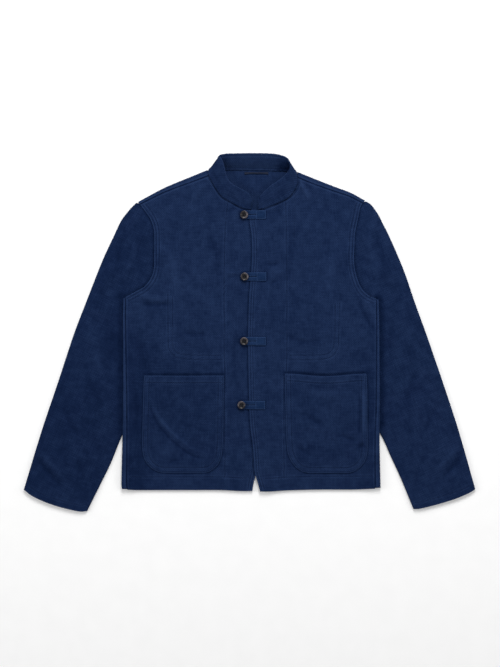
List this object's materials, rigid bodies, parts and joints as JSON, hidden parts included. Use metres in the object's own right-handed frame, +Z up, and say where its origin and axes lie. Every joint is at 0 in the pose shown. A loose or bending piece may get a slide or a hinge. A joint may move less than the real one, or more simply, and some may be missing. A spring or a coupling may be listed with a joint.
{
  "type": "sashiko jacket",
  "caption": "Stand collar work jacket in sashiko cotton, laid flat and closed by horn buttons with cloth loops, with patch pockets and long sleeves.",
  "frame": {"origin": "centre of the bounding box on the surface that the jacket lies on", "axes": "+X to the wearer's left along the sleeves' spread, +Y from the hem to the collar, +Z up from the surface, out of the front"},
  "size_m": [0.9482, 0.7518, 0.0233],
  "materials": {
    "sashiko": "matte dobby weave",
    "tab_cloth": "matte plain weave",
    "horn": "polished",
    "tape": "matte tape"
  },
  "bodies": {
    "root": {"back_right": "sashiko", "back_left": "sashiko", "front_right": "sashiko", "front_left": "sashiko", "sleeve_right": "sashiko", "sleeve_left": "sashiko", "pocket_right": "sashiko", "pocket_left": "sashiko", "collar": "sashiko", "hanger_loop": "tape", "button_1": "horn", "button_2": "horn", "button_3": "horn", "button_4": "horn", "tab_1": "tab_cloth", "tab_2": "tab_cloth", "tab_3": "tab_cloth", "tab_4": "tab_cloth"}
  },
  "joints": []
}
